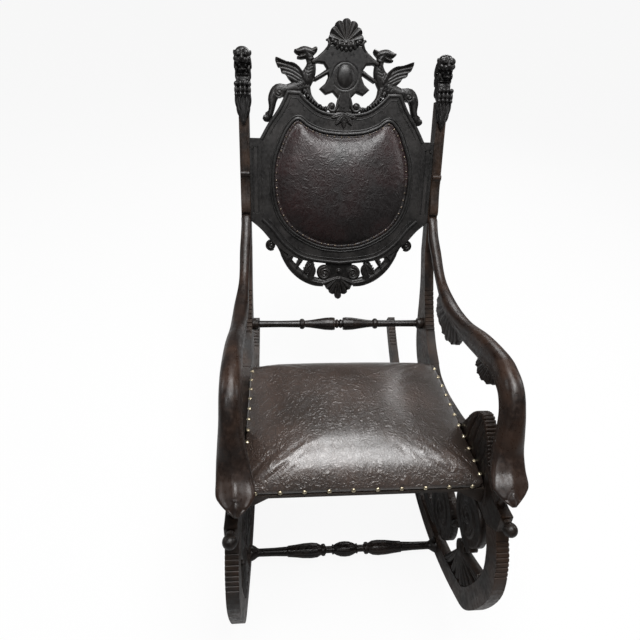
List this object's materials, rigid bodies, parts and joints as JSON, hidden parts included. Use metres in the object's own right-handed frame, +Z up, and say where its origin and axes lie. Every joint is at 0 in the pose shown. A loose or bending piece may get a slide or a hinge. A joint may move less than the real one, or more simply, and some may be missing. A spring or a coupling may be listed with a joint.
{
  "type": "rocking chair",
  "caption": "Carved rocking chair: scrolled side frames on long runners, leaning nailed leather back under a pierced crest, leather seat, turned rails and lion-head stiles.",
  "frame": {"origin": "On the floor under the middle of the chair's width and depth.", "axes": "X across the chair, Y to the back, Z up; the chair faces -Y."},
  "size_m": [0.5738, 1.081, 1.1861],
  "materials": {
    "runner_wood": "ebonised, worn brown on the edges, satin",
    "frame_wood": "ebonised, satin",
    "arm_wood": "ebonised, handled brown, gloss",
    "carved_wood": "ebonised, satin",
    "panel_wood": "ebonised, satin",
    "turned_wood": "ebonised, satin",
    "hidden_wood": "bare, matt",
    "seat_leather": "embossed, gloss",
    "back_leather": "embossed, gloss",
    "seat_brass": "tarnished, satin",
    "dark_brass": "darkened, satin",
    "screw_steel": "plain"
  },
  "bodies": {
    "root": {"left_runner": "runner_wood", "right_runner": "runner_wood", "left_side_rail": "frame_wood", "right_side_rail": "frame_wood", "left_stile": "frame_wood", "right_stile": "frame_wood", "left_front_scroll": "frame_wood", "right_front_scroll": "frame_wood", "left_rear_scroll": "frame_wood", "right_rear_scroll": "frame_wood", "left_fan": "frame_wood", "right_fan": "frame_wood", "left_bud": "frame_wood", "right_bud": "frame_wood", "left_stile_leaf": "frame_wood", "right_stile_leaf": "frame_wood", "left_rear_leg": "frame_wood", "right_rear_leg": "frame_wood", "left_ball": "frame_wood", "right_ball": "frame_wood", "left_arm_post": "frame_wood", "right_arm_post": "frame_wood", "left_arm": "arm_wood", "right_arm": "arm_wood", "left_arm_leaf": "arm_wood", "right_arm_leaf": "arm_wood", "left_lion_head": "carved_wood", "right_lion_head": "carved_wood", "left_paw_leaf": "carved_wood", "right_paw_leaf": "carved_wood", "left_griffin": "carved_wood", "right_griffin": "carved_wood", "leaf_spray": "carved_wood", "cartouche": "carved_wood", "oval_boss": "carved_wood", "shell_crest": "carved_wood", "bottom_drop": "carved_wood", "back_panel": "panel_wood", "cushion_moulding": "panel_wood", "panel_plugs": "panel_wood", "back_spindle": "turned_wood", "front_stretcher": "turned_wood", "rear_stretcher": "turned_wood", "seat_front_rail": "hidden_wood", "seat_rear_rail": "hidden_wood", "seat_side_cleats": "hidden_wood", "seat_board": "hidden_wood", "corner_brackets": "hidden_wood", "back_board": "hidden_wood", "frame_dowels": "hidden_wood", "seat_cushion": "seat_leather", "back_cushion": "back_leather", "seat_nails": "seat_brass", "back_nails": "dark_brass", "frame_screws": "screw_steel"}
  },
  "joints": []
}
